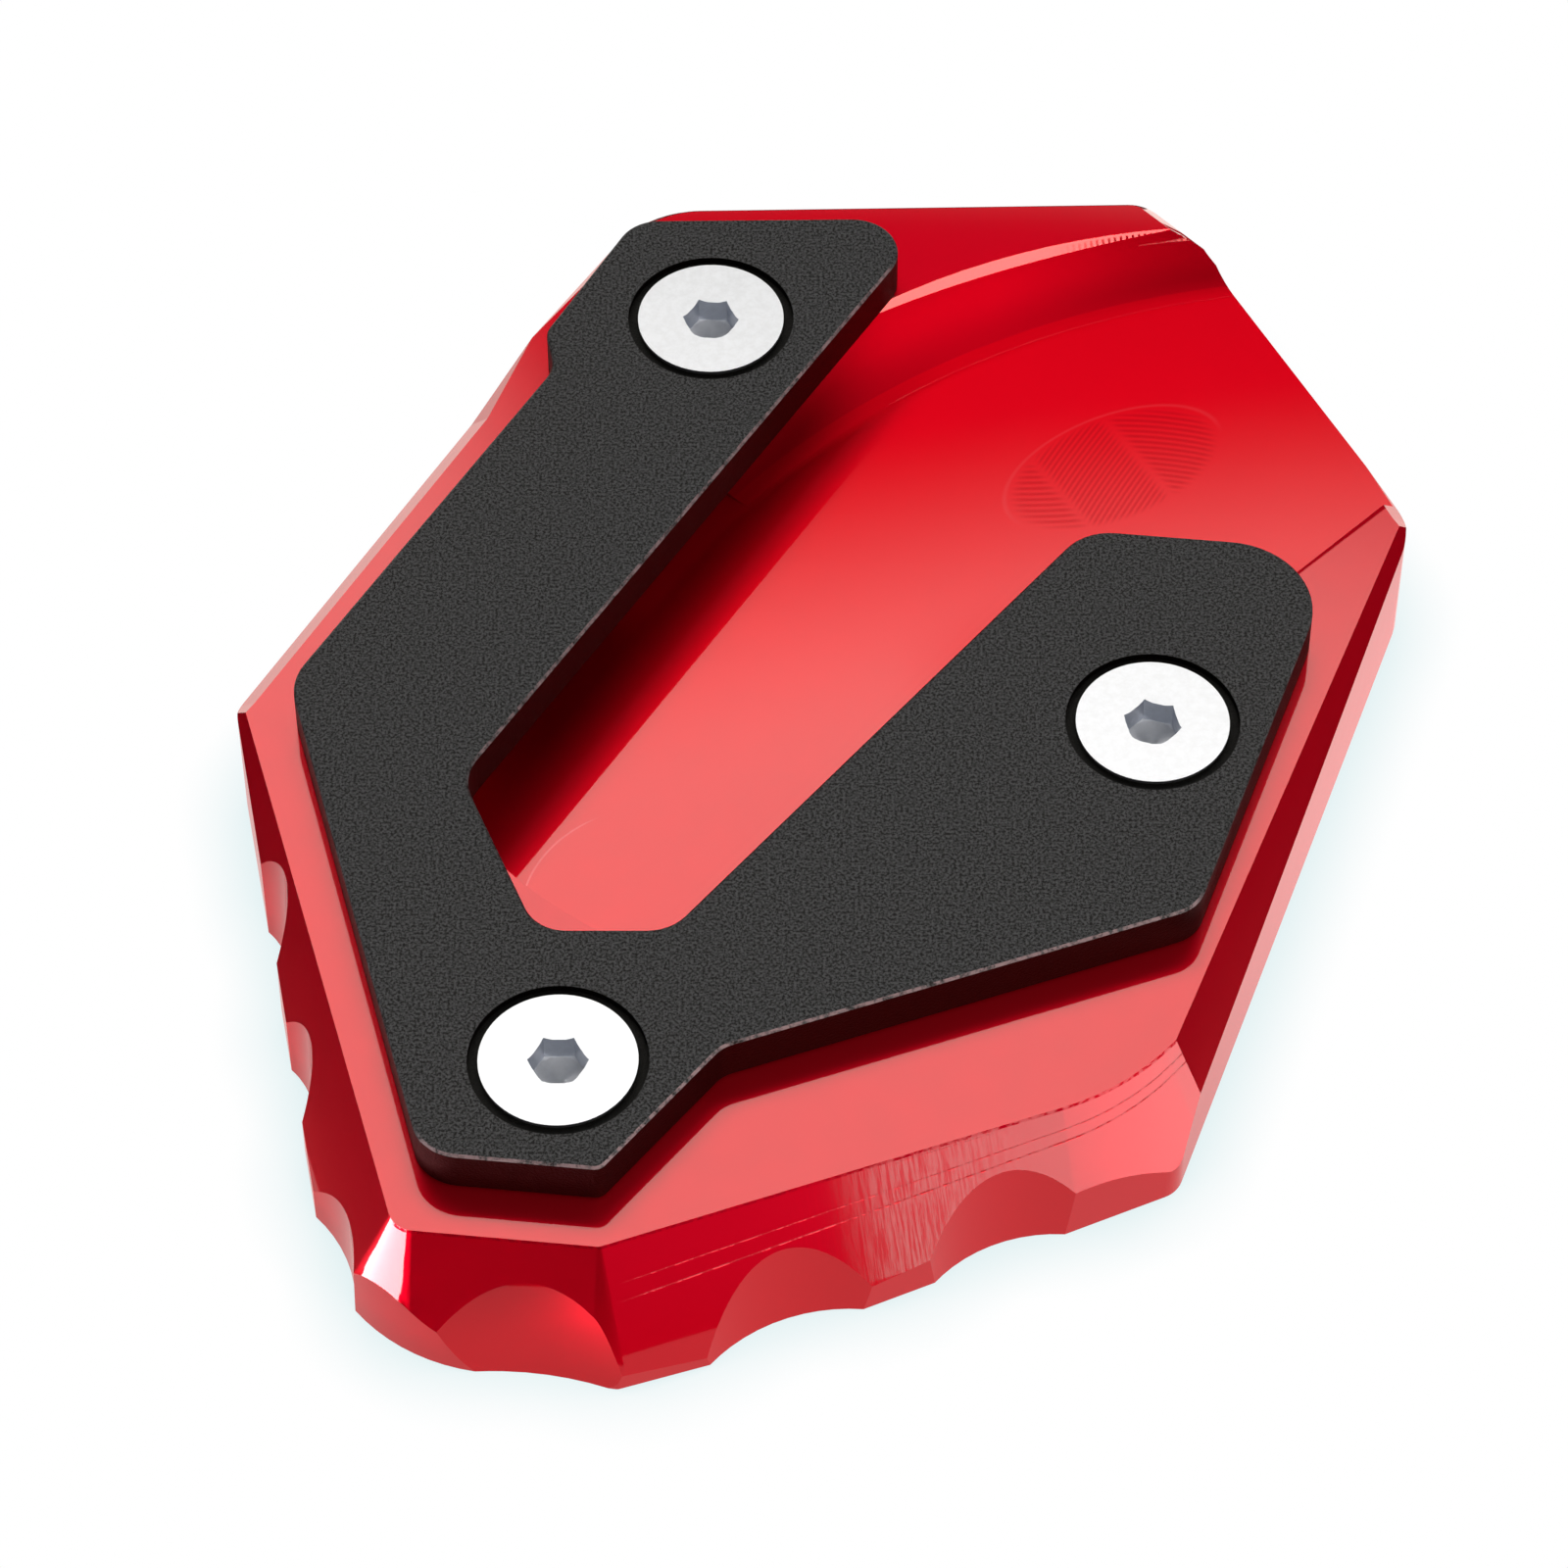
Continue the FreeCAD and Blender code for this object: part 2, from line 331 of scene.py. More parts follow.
@dataclass(frozen=True)
class ToolLine:
    """One fine line that the cutter left on the front flank, in millimetres of the part's frame."""

    start_x: float
    start_z: float
    climb: float
    end_x: float
    half_width: float
    strength: float
    core: float = 0.3
    fade: float = 3.0

    def build(self, shader: Shader, place: Place, wobble: Socket) -> Socket:
        """Draws the line.

        Args:
            shader: The Shader that takes the nodes.
            place: The point that is shaded.
            wobble: How far the line strays downwards.

        Returns:
            The line from 0 to its strength, as a Socket.
        """
        level = self.start_z + (place.x - self.start_x) * self.climb
        near = shader.fall(abs(place.z - level + wobble), self.core * self.half_width, self.half_width)
        span = shader.band(place.x, self.start_x, self.start_x + self.fade, self.end_x - self.fade, self.end_x)
        return near * span * self.strength


@dataclass(frozen=True)
class FrontFlankMarks:
    """The front flank's tool lines, its chatter streaks, and painted shade along its sharp upper edge."""

    lines: tuple = (
        ToolLine(-16.0, 8.75, 0.0461, 40.0, 0.075, 0.8),
        ToolLine(-16.0, 7.33, 0.0607, 40.0, 0.09, 1.0),
        ToolLine(2.2, 11.66, 0.0, 13.5, 0.06, 0.5),
    )
    facing: tuple = (-0.62, -0.48)
    in_front: tuple = (-30.0, -27.0)
    wobble: float = 0.05
    wobble_grain: Grain = Grain(1.1)
    chatter: tuple = (-4.0, -1.5, 5.0, 18.0)
    along: tuple = (0.94, 0.342)
    streak_squash: float = 0.045
    streak_grain: Grain = Grain(5.5, 3.0, 0.75)
    streak_range: tuple = (0.42, 0.60)
    # heights of the painted shade line along the upper edge
    edge: tuple = (11.74, 11.80)
    dot_floor: float = 0.3
    dot_share: float = 0.7
    dot_grain: Grain = Grain(1.9, 2.0, 0.6)
    dot_range: tuple = (0.42, 0.58)

    def build(self, shader: Shader, place: Place) -> tuple[Socket, Socket, Socket]:
        """Draws the marks.

        Args:
            shader: The Shader that takes the nodes.
            place: The point that is shaded.

        Returns:
            The lines, the streaks and the painted shade along the upper edge, all from 0 to 1, as Sockets.
        """
        _, facing, tilt = shader.normal()
        side = shader.band(tilt, *Tilt.FLANK) * shader.fall(facing, *self.facing)
        side = side * shader.fall(place.y, *self.in_front)
        wobble = shader.noise(place.vector, self.wobble_grain) * self.wobble
        lines = sum((line.build(shader, place, wobble) for line in self.lines), 0.0)
        run = place.x * self.along[0] + place.y * self.along[1]
        squashed = shader.node("CombineXYZ", {0: run, 1: place.z * self.streak_squash, 2: 0.0})
        streaks = shader.ramp(shader.noise(squashed, self.streak_grain), *self.streak_range)
        dots = shader.ramp(shader.noise(place.vector, self.dot_grain), *self.dot_range)
        dots = self.dot_floor + self.dot_share * dots
        # Painted shade: a dotted dark line along the flank's upper edge.
        edge = side * shader.ramp(place.z, *self.edge) * dots
        return lines * side * dots, streaks * side * shader.band(place.x, *self.chatter), edge


@dataclass(frozen=True)
class RidgeField:
    """Fine parallel ridges that a cutter left on the pocket floor, between two places along the swirl."""

    low: float
    high: float
    heading: float
    pitch: float
    bend: float
    fade: float = 0.10

    def build(self, shader: Shader, across: Socket, up: Socket, spot: Socket) -> Socket:
        """Draws the ridges.

        Their wave is half a sine plus a half. It runs over the distance square to the ridges, plus the
        bend times the square of the distance along them, and repeats with the pitch.

        Args:
            shader: The Shader that takes the nodes.
            across: The first coordinate from the swirl's centre, in millimetres.
            up: The second coordinate from there.
            spot: How far along the swirl the point lies, from -1 to 1.

        Returns:
            The ridges from 0 to 1, as a Socket.
        """
        along, over = turned(across, up, self.heading)
        over = over + along * along * self.bend
        wave = (over * (math.tau / self.pitch)).sine() * 0.5 + 0.5
        return wave * shader.band(spot, self.low, self.low + self.fade, self.high - self.fade, self.high)


@dataclass(frozen=True)
class FloorSwirl:
    """The oval of fine ridges on the pocket floor."""

    centre: tuple = (23.5, 27.4)
    half_axes: tuple = (10.2, 6.0)
    heading: float = 30.0
    fields: tuple = (
        RidgeField(-1.05, -0.48, 14.0, 0.66, -0.020),
        RidgeField(-0.52, 0.24, 60.0, 0.44, 0.006),
        RidgeField(0.22, 0.98, -3.0, 0.60, 0.018),
    )
    inside: tuple = (0.80, 0.96)
    below: tuple = (10.4, 10.6)
    rim_at: float = 0.97
    rim_width: float = 0.035
    rim_start: tuple = (-0.3, 0.2)

    def build(self, shader: Shader, place: Place) -> tuple[Socket, Socket]:
        """Draws the swirl.

        Args:
            shader: The Shader that takes the nodes.
            place: The point that is shaded.

        Returns:
            The ridges' height from 0 to 1, and the oval's rim from 0 to 1, as Sockets.
        """
        across, up = place.x - self.centre[0], place.y - self.centre[1]
        along, over = turned(across, up, self.heading)
        u, v = along / self.half_axes[0], over / self.half_axes[1]
        rho = reach(u, v)
        on_floor = shader.fall(place.z, *self.below)
        ridges = sum((field.build(shader, across, up, u) for field in self.fields), 0.0)
        rim = shader.fall(abs(rho - self.rim_at), 0.0, self.rim_width) * shader.ramp(v, *self.rim_start)
        return ridges * (shader.fall(rho, *self.inside) * on_floor), rim * on_floor


@dataclass(frozen=True)
class BackWallFinishAndShade:
    """The satin finish of the pocket's curved back wall, the painted shade that darkens it towards its right end,
    and the tooth marks along its bright chamfer.
    """

    centre: tuple = (41.085, -15.212)
    wall: tuple = (61.67, 62.67, 68.9, 69.2)
    wall_from: tuple = (10.0, 16.0)
    shaded: tuple = (12.0, 34.0)
    shade_rise: tuple = (62.07, 65.07)
    rim_centre: tuple = (35.385, -5.112)
    rim_radius: float = 57.4
    chamfer_above: tuple = (11.0, 11.1)
    chamfer_inset: tuple = (-0.15, -0.05, 1.02, 1.10)
    chamfer_from: tuple = (20.0, 22.0)
    teeth_per_degree: float = 1.92
    toothed: tuple = (100.0, 107.5)
    tooth_inset: tuple = (0.10, 0.22)
    gap_range: tuple = (0.0, 0.5)

    def build(self, shader: Shader, place: Place) -> tuple[Socket, Socket, Socket]:
        """Draws the finish.

        Args:
            shader: The Shader that takes the nodes.
            place: The point that is shaded.

        Returns:
            Where the satin wall is, how shaded its end is, and where the gaps between the tooth marks
            are, from 0 to 1, as Sockets.
        """
        from_wall = reach(place.x - self.centre[0], place.y - self.centre[1])
        wall = shader.band(from_wall, *self.wall) * shader.ramp(place.y, *self.wall_from)
        # Painted shade: darker towards the wall's right end.
        shade = shader.ramp(place.x, *self.shaded) * shader.ramp(from_wall, *self.shade_rise)
        across, up = place.x - self.rim_centre[0], place.y - self.rim_centre[1]
        angle = across.heading_of(up)
        inset = self.rim_radius - reach(across, up)
        chamfer = shader.band(shader.normal()[2], *Tilt.BEVEL) * shader.ramp(place.z, *self.chamfer_above)
        chamfer = chamfer * shader.band(inset, *self.chamfer_inset) * shader.ramp(place.y, *self.chamfer_from)
        gaps = shader.ramp((angle * (math.tau * self.teeth_per_degree)).sine(), *self.gap_range)
        gaps = gaps * shader.ramp(inset, *self.tooth_inset) * shader.fall(angle, *self.toothed)
        return wall * (1.0 - chamfer) * shader.fall(place.z, *BASE_TOP_MM), shade, gaps * chamfer


@dataclass(frozen=True)
class ToeArc:
    """A short pale arc drawn at the toe end of the pocket floor."""

    centre: tuple = (-13.8, -17.3)
    radius: float = 10.2
    half_width: float = 0.12
    core: float = 0.2
    left_of: tuple = (-20.0, -18.0)
    height: tuple = (6.0, 6.2, 9.0, 9.2)

    def build(self, shader: Shader, place: Place) -> Socket:
        """Draws the arc.

        Args:
            shader: The Shader that takes the nodes.
            place: The point that is shaded.

        Returns:
            The line from 0 to 1, as a Socket.
        """
        off = abs(reach(place.x - self.centre[0], place.y - self.centre[1]) - self.radius)
        line = shader.fall(off, self.core * self.half_width, self.half_width)
        return line * shader.fall(place.x, *self.left_of) * shader.band(place.z, *self.height)


@dataclass(frozen=True)
class ArmShade:
    """The dark pocket floor under the clamp plate's left arm, along the arm's straight edge."""

    across: tuple = (0.850, -0.526)
    edge_at: float = -18.17
    width: tuple = (-15.0, -12.0, -1.2, 3.6)
    length: tuple = (-38.0, -8.0, 26.0, 40.0)
    below: tuple = (11.6, 11.8)
    share: float = 0.72

    def build(self, shader: Shader, place: Place) -> Socket:
        """Draws the shade.

        Args:
            shader: The Shader that takes the nodes.
            place: The point that is shaded.

        Returns:
            The shade from 0 to its share, as a Socket.
        """
        off = place.x * self.across[0] + place.y * self.across[1] - self.edge_at
        along = place.y * self.across[0] - place.x * self.across[1]
        shade = shader.band(off, *self.width) * shader.band(along, *self.length)
        return shade * shader.fall(place.z, *self.below) * self.share


@dataclass(frozen=True)
class RightEdgeShade:
    """A thin line of painted shade on the top face along the pocket's right edge."""

    across: tuple = (0.688, -0.726)
    edge_at: float = 16.0
    width: tuple = (-0.6, -0.5, 0.10, 0.26)
    right_of: tuple = (28.0, 30.0)

    def build(self, shader: Shader, place: Place) -> Socket:
        """Draws the line.

        Args:
            shader: The Shader that takes the nodes.
            place: The point that is shaded.

        Returns:
            The painted shade from 0 to 1, as a Socket.
        """
        off = place.x * self.across[0] + place.y * self.across[1] - self.edge_at
        line = shader.band(off, *self.width)
        return line * shader.ramp(place.x, *self.right_of) * shader.ramp(place.z, *BASE_TOP_MM)


@dataclass(frozen=True)
class RedMarks:
    """Everything that is drawn on the red base, as Sockets that are 0 where there is nothing."""

    lines: Socket
    streaks: Socket
    # painted shade along the front flank's upper edge
    edge: Socket
    ridges: Socket
    rim: Socket
    satin: Socket
    shade: Socket
    gaps: Socket
    arc: Socket
    arm_shade: Socket
    right_edge_shade: Socket


@dataclass(frozen=True)
class AnodisedRed:
    """Glossy red anodised aluminium: a part-metal red under a clear coat, with the cutter's marks, and with
    painted light and shade on its faces, edges and pocket.
    """

    flank_marks: FrontFlankMarks = FrontFlankMarks()
    swirl: FloorSwirl = FloorSwirl()
    back_wall: BackWallFinishAndShade = BackWallFinishAndShade()
    toe_arc: ToeArc = ToeArc()
    arm_shade: ArmShade = ArmShade()
    right_edge_shade: RightEdgeShade = RightEdgeShade()

    colour: tuple = (0.80, 0.0009, 0.0145)
    # darker red of the level top faces: painted shade
    shaded_top_colour: tuple = (0.69, 0.0009, 0.0145)
    # brighter red of the level pocket floor, rising towards the back: painted light
    floor_colour: tuple = (0.98, 0.0009, 0.0145)
    floor_below: tuple = (10.8, 11.2)
    floor_rise: tuple = (-12.0, 14.0)
    # pale pink of the painted highlights on the tool lines, also used for the swirl's rim and the toe arc
    light_colour: tuple = (0.95, 0.18, 0.22)

    cloud_grain: Grain = Grain(0.11, 3.0)
    cloud_dark: float = 0.04
    shade_dark: float = 0.45
    ridges_dark: float = 0.2
    # darkening by the painted shade along the pocket's right edge
    right_edge_shade_dark: float = 0.5
    # darkening by the painted shade along the front flank's upper edge
    edge_dark: float = 0.35
    gaps_dark: float = 0.3
    # The tool lines are real grooves; they are drawn darker on the flank's right part as painted shade and paler
    # on its left part as a painted highlight.
    lines_dark: float = 0.3
    lines_dark_from: tuple = (2.0, 8.0)
    lines_highlight: float = 0.45
    lines_highlight_to: tuple = (-2.0, 8.0)
    rim_light: float = 0.10
    arc_light: float = 0.5

    ridges_height: float = 0.0000011
    rim_height: float = 0.0000010
    lines_depth: float = 0.000022
    fine_height: float = 0.00000035
    fine_grain: Grain = Grain(3.0, 3.0, 0.6)

    metallic: float = 0.6
    satin_metal_loss: float = 0.6
    roughness: float = 0.30
    roughness_spread: float = 0.05
    roughness_grain: Grain = Grain(0.4, 3.0)
    satin_roughness: float = 0.3

    coat_ior: float = 1.52
    coat_roughness: float = 0.03
    streaks_dull: float = 0.7
    lines_dull: float = 0.9
    ridges_dull: float = 0.4

    def marks(self, shader: Shader, place: Place) -> RedMarks:
        """Draws every mark.

        Args:
            shader: The Shader that takes the nodes.
            place: The point that is shaded.

        Returns:
            The marks.
        """
        return RedMarks(
            *self.flank_marks.build(shader, place),
            *self.swirl.build(shader, place),
            *self.back_wall.build(shader, place),
            self.toe_arc.build(shader, place),
            self.arm_shade.build(shader, place),
            self.right_edge_shade.build(shader, place),
        )

    def base_colour(self, shader: Shader, place: Place, marks: RedMarks) -> Socket:
        """Mixes the red of each face, with painted shade on the top faces and painted light on the pocket floor,
        and darkens and lightens it by the marks, some of which are painted shade and highlights.

        Args:
            shader: The Shader that takes the nodes.
            place: The point that is shaded.
            marks: The marks.

        Returns:
            The colour as a Socket.
        """
        level = shader.ramp(shader.normal()[2], *Tilt.LEVEL)
        # Painted shade: the level top faces take a darker red than the rest.
        colour = shader.mix(level * shader.ramp(place.z, *BASE_TOP_MM), self.colour, self.shaded_top_colour)
        # Painted light: a brighter red on the level pocket floor, rising towards the back.
        lit = level * shader.fall(place.z, *self.floor_below) * shader.ramp(place.y, *self.floor_rise)
        colour = shader.mix(lit, colour, self.floor_colour)
        colour = shader.mix(shader.noise(place.vector, self.cloud_grain) * self.cloud_dark, colour, BLACK)
        # Painted shade on the end of the satin back wall and on the floor under the left arm.
        dark = marks.satin * marks.shade * self.shade_dark + marks.arm_shade + marks.ridges * self.ridges_dark
        # Painted shade: the line along the pocket's right edge and the line along the front flank's upper edge.
        dark = dark + marks.right_edge_shade * self.right_edge_shade_dark + marks.edge * self.edge_dark
        dark = dark + marks.gaps * self.gaps_dark
        # Painted shade on the tool lines over the flank's right part.
        dark = dark + marks.lines * shader.ramp(place.x, *self.lines_dark_from) * self.lines_dark
        colour = shader.mix(dark, colour, BLACK)
        # Painted highlight on the tool lines over the flank's left part.
        line_highlights = marks.lines * shader.fall(place.x, *self.lines_highlight_to) * self.lines_highlight
        colour = shader.mix(line_highlights, colour, self.light_colour)
        return shader.mix(marks.rim * self.rim_light + marks.arc * self.arc_light, colour, self.light_colour)

    def height(self, shader: Shader, place: Place, marks: RedMarks) -> Socket:
        """Adds up the heights of the ridges, the rim and the fine grain, less the depth of the lines.

        Args:
            shader: The Shader that takes the nodes.
            place: The point that is shaded.
            marks: The marks.

        Returns:
            The height in metres, as a Socket.
        """
        fine = shader.noise(place.vector, self.fine_grain)
        height = marks.ridges * self.ridges_height + marks.rim * self.rim_height
        return height - marks.lines * self.lines_depth + fine * self.fine_height

    def coat(self, marks: RedMarks) -> Socket:
        """Multiplies what each mark leaves of the clear coat.

        Args:
            marks: The marks.

        Returns:
            The coat's weight from 0 to 1, as a Socket.
        """
        left = (1.0 - marks.satin) * (1.0 - marks.gaps) * (1.0 - marks.right_edge_shade)
        left = left * (1.0 - marks.streaks * self.streaks_dull) * (1.0 - marks.lines * self.lines_dull)
        return left * (1.0 - marks.edge) * (1.0 - marks.ridges * self.ridges_dull)

    def build(self) -> bpy.types.Material:
        """Builds the material.

        Returns:
            The material.
        """
        material, shader = new_material("anodised_red")
        place = shader.object_place()
        marks = self.marks(shader, place)
        spread = self.roughness_spread * shader.noise(place.vector, self.roughness_grain)
        shader.surface(shader.node("BsdfPrincipled", {
            "Base Color": self.base_colour(shader, place, marks),
            "Metallic": self.metallic * (1.0 - self.satin_metal_loss * marks.satin) * (1.0 - marks.gaps),
            "Roughness": self.roughness + spread + marks.satin * self.satin_roughness,
            "Specular IOR Level": 0.0,
            "Coat Weight": self.coat(marks),
            "Coat Roughness": self.coat_roughness,
            "Coat IOR": self.coat_ior,
            "Normal": shader.bump(self.height(shader, place, marks), 1.0),
        }))
        return material


@dataclass(frozen=True)
class BlastedBlack:
    """Black anodised aluminium: a blasted top with a fine grain, dark part-metal sides tinted with a painted red
    reflection, pale front edges that are partly wear and partly painted highlight, and painted shadow in the rims
    round the screws.
    """

    colour: tuple = (0.045, 0.045, 0.047)
    dark_gain: float = 0.1
    light_gain: float = 2.5
    grain: Grain = Grain(4.5, 3.0, 0.75)
    grain_range: tuple = (0.39, 0.61)
    grain_height: float = 0.00011
    grain_strength: float = 0.9
    top_tilt: tuple = (0.2, 0.9)

    # dark sides, tinted red as a painted reflection of the red base below
    side_colour_and_red_reflection: tuple = (0.030, 0.0008, 0.0012)
    side_metallic: float = 0.85

    # pale front edges: partly wear, partly a painted highlight, only on edges that face forwards
    worn_and_highlight_colour: tuple = (0.34, 0.22, 0.23)
    worn_and_highlight_tilt: tuple = (0.50, 0.60, 0.80, 0.90)
    worn_and_highlight_facing: tuple = (-0.45, -0.25)
    worn_and_highlight_above: tuple = (15.4, 15.6)
    worn_and_highlight_grain: Grain = Grain(1.6, 3.0, 0.7)
    worn_and_highlight_range: tuple = (0.36, 0.60)

    seats: tuple = ("clamp_screw_back", "clamp_screw_right", "clamp_screw_toe")
    # painted shadow: the near-black rims round the screw heads
    seat_shadow_colour: tuple = (0.0012, 0.0012, 0.0012)
    seat_radius: float = 6.86
    seat_edge: float = 0.08

    roughness: float = 0.5
    specular: float = 0.3

    def seat_shadow(self, shader: Shader, place: Place) -> Socket:
        """Marks the painted shadow in the sunk rims round the screws.

        Args:
            shader: The Shader that takes the nodes.
            place: The point that is shaded.

        Returns:
            1 inside the rims and 0 outside, as a Socket.
        """
        inside = 0.0
        for name in self.seats:
            low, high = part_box(name)
            across = place.x - (low[0] + high[0]) / 2 / MM
            up = place.y - (low[1] + high[1]) / 2 / MM
            inside = inside + shader.fall(reach(across, up), self.seat_radius - self.seat_edge, self.seat_radius)
        return inside

    def worn_and_highlight(self, shader: Shader, place: Place) -> Socket:
        """Marks the pale patches along the front edges of the top: partly wear, partly a painted highlight on the
        edges that face forwards.

        Args:
            shader: The Shader that takes the nodes.
            place: The point that is shaded.

        Returns:
            1 on the patches and 0 elsewhere, as a Socket.
        """
        _, facing, tilt = shader.normal()
        edge = shader.band(tilt, *self.worn_and_highlight_tilt) * shader.fall(facing, *self.worn_and_highlight_facing)
        patches = shader.ramp(shader.noise(place.vector, self.worn_and_highlight_grain), *self.worn_and_highlight_range)
        return edge * shader.ramp(place.z, *self.worn_and_highlight_above) * patches

    def build(self) -> bpy.types.Material:
        """Builds the material.

        Returns:
            The material.
        """
        material, shader = new_material("blasted_black")
        place = shader.object_place()
        grain = shader.noise(place.vector, self.grain)
        top = shader.ramp(shader.normal()[2], *self.top_tilt)
        blasted = shader.mix(shader.ramp(grain, *self.grain_range), scaled(self.colour, self.dark_gain),
                             scaled(self.colour, self.light_gain))
        colour = shader.mix(top, self.side_colour_and_red_reflection, blasted)
        # Painted shadow in the rims round the screws.
        colour = shader.mix(self.seat_shadow(shader, place), colour, self.seat_shadow_colour)
        # Wear and painted highlight on the front top edges.
        colour = shader.mix(self.worn_and_highlight(shader, place), colour, self.worn_and_highlight_colour)
        shader.surface(shader.node("BsdfPrincipled", {
            "Base Color": colour,
            "Metallic": (1.0 - top) * self.side_metallic,
            "Roughness": self.roughness,
            "Specular IOR Level": self.specular,
            "Normal": shader.bump(grain, self.grain_height, self.grain_strength),
        }))
        return material


@dataclass(frozen=True)
class BrightSteel:
    """Bright machined steel of the screws, with bevels that shine like level faces and matt socket floors."""

    colour: tuple = (0.70, 0.735, 0.81)
    dark_gain: float = 0.9
    specks: Grain = Grain(1.4, 4.0, 0.65)
    specks_range: tuple = (0.3, 0.7)
    roughness: float = 0.28
    roughness_spread: float = 0.06
    polished_above: tuple = (15.6, 15.7)
    floor_tilt: tuple = (0.4, 0.6)
    floor_below: tuple = (14.6, 15.0)
    floor_metal_loss: float = 0.85

    def build(self) -> bpy.types.Material:
        """Builds the material.

        Returns:
            The material.
        """
        material, shader = new_material("bright_steel")
        place = shader.object_place()
        specks = shader.noise(place.vector, self.specks)
        tilt = shader.normal()[2]
        polished = shader.band(tilt, *Tilt.BEVEL) * shader.ramp(place.z, *self.polished_above)
        floor = shader.ramp(tilt, *self.floor_tilt) * shader.fall(place.z, *self.floor_below)
        shader.surface(shader.node("BsdfPrincipled", {
            "Base Color": shader.mix(shader.ramp(specks, *self.specks_range),
                                     scaled(self.colour, self.dark_gain), self.colour),
            "Metallic": 1.0 - self.floor_metal_loss * floor,
            "Roughness": self.roughness + self.roughness_spread * specks,
            "Normal": shader.normal_towards(polished, (0.0, 0.0, 1.0)),
        }))
        return material


class Seen(Enum):
    """Which rays meet a light card."""

    GLOSSY = "glossy"
    DIFFUSE = "diffuse"


@dataclass(frozen=True)
class LightCard:
    """A soft panel that faces the object, with its place and size in degrees as seen from the object."""

    name: str
    heading: float
    elevation: float
    width: float
    height: float
    radiance: float
    seen: Seen = Seen.GLOSSY
    distance: float = 6.0
    softness: float = 0.15
    colour: tuple = (1.0, 0.95, 0.88)

    def build(self) -> None:
        """Builds the panel, with a glow that fades at its edges."""
        heading = math.radians(self.heading)
        out = Vector(direction(self.heading, self.elevation))
        across = Vector((-math.sin(heading), math.cos(heading), 0.0))
        up = out.cross(across)
        centre = out * self.distance
        half_width = math.tan(math.radians(self.width / 2)) * self.distance
        half_height = math.tan(math.radians(self.height / 2)) * self.distance
        corners = [tuple(centre + across * (a * half_width) + up * (b * half_height)) for a, b in SQUARE]
        card, shader = new_object(self.name, corners, [(0, 1, 2, 3)])
        card.data.uv_layers.new(name="card").data.foreach_set("uv", [part for spot in SQUARE for part in spot])
        u, v, _ = shader.parts(shader.node("UVMap", uv_map="card"))
        inside = shader.ramp(1.0 - abs(u), 0.0, self.softness) * shader.ramp(1.0 - abs(v), 0.0, self.softness)
        shader.surface(shader.node("Emission", {"Color": self.colour, "Strength": inside * self.radiance}))
        card.visible_camera = False
        card.visible_transmission = False
        card.visible_glossy = self.seen is Seen.GLOSSY
        card.visible_diffuse = self.seen is Seen.DIFFUSE


@dataclass(frozen=True)
class Canopy:
    """A soft canopy behind and over the object, with a dark flag low in front of its right half."""

    radiance: float = 3.2
    colour: tuple = (1.0, 0.95, 0.86)
    headings: tuple = (30.0, 150.0)
    full_headings: tuple = (55.0, 125.0)
    elevations: tuple = (40.0, 64.0)
    glow_elevation: tuple = (43.0, 46.4, 57.0, 62.0)
    flag_heading: tuple = (93.2, 96.5)
    flag_elevation: tuple = (44.8, 45.8, 46.4, 50.5)
    distance: float = 8.0
    steps: int = 33

    def build(self) -> None:
        """Builds the canopy as a patch of a sphere."""
        heading, elevation = np.meshgrid(np.linspace(*self.headings, self.steps),
                                         np.linspace(*self.elevations, self.steps))
        points = direction(heading, elevation) * self.distance
        index = np.arange(self.steps * self.steps).reshape(self.steps, self.steps)
        quads = np.stack([index[:-1, :-1], index[:-1, 1:], index[1:, 1:], index[1:, :-1]], axis=-1).reshape(-1, 4)
        canopy, shader = new_object("canopy", points.reshape(-1, 3).tolist(), quads.tolist())
        angles = np.stack([heading.ravel(), elevation.ravel()], axis=-1)[quads.ravel()]
        canopy.data.uv_layers.new(name="sky").data.foreach_set("uv", angles.astype(np.float32).ravel())
        u, v, _ = shader.parts(shader.node("UVMap", uv_map="sky"))
        flag = shader.fall(u, *self.flag_heading) * shader.band(v, *self.flag_elevation)
        sides = shader.band(u, self.headings[0], *self.full_headings, self.headings[1])
        glow = shader.band(v, *self.glow_elevation) * (1.0 - flag) * sides
        shader.surface(shader.node("Emission", {"Color": self.colour, "Strength": glow * self.radiance}))
        canopy.visible_camera = False


